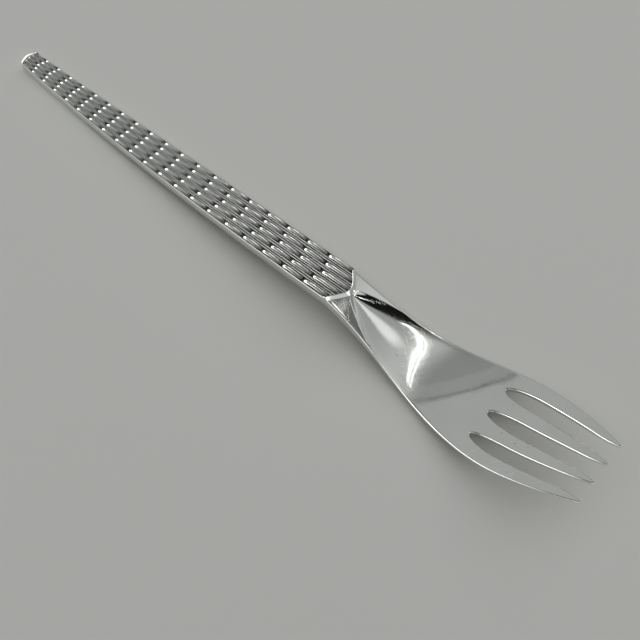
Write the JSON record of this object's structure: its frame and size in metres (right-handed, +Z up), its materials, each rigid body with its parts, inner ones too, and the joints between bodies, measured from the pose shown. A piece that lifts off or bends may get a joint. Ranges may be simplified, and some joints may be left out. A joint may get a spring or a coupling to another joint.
{
  "type": "dinner fork",
  "caption": "Slim polished silver dinner fork with a pointed bowl, slender tines and rows of half-round bars in relief on its tapered handle.",
  "frame": {"origin": "middle of the fork's length and width, on the surface it lies on", "axes": "+Y along the fork towards the tips of the tines, +Z up out of the bowl, X across"},
  "size_m": [0.0268, 0.1956, 0.0153],
  "materials": {
    "silver": "polished silver, darkened in the recesses of the relief"
  },
  "bodies": {
    "root": {"fork": "silver"}
  },
  "joints": []
}
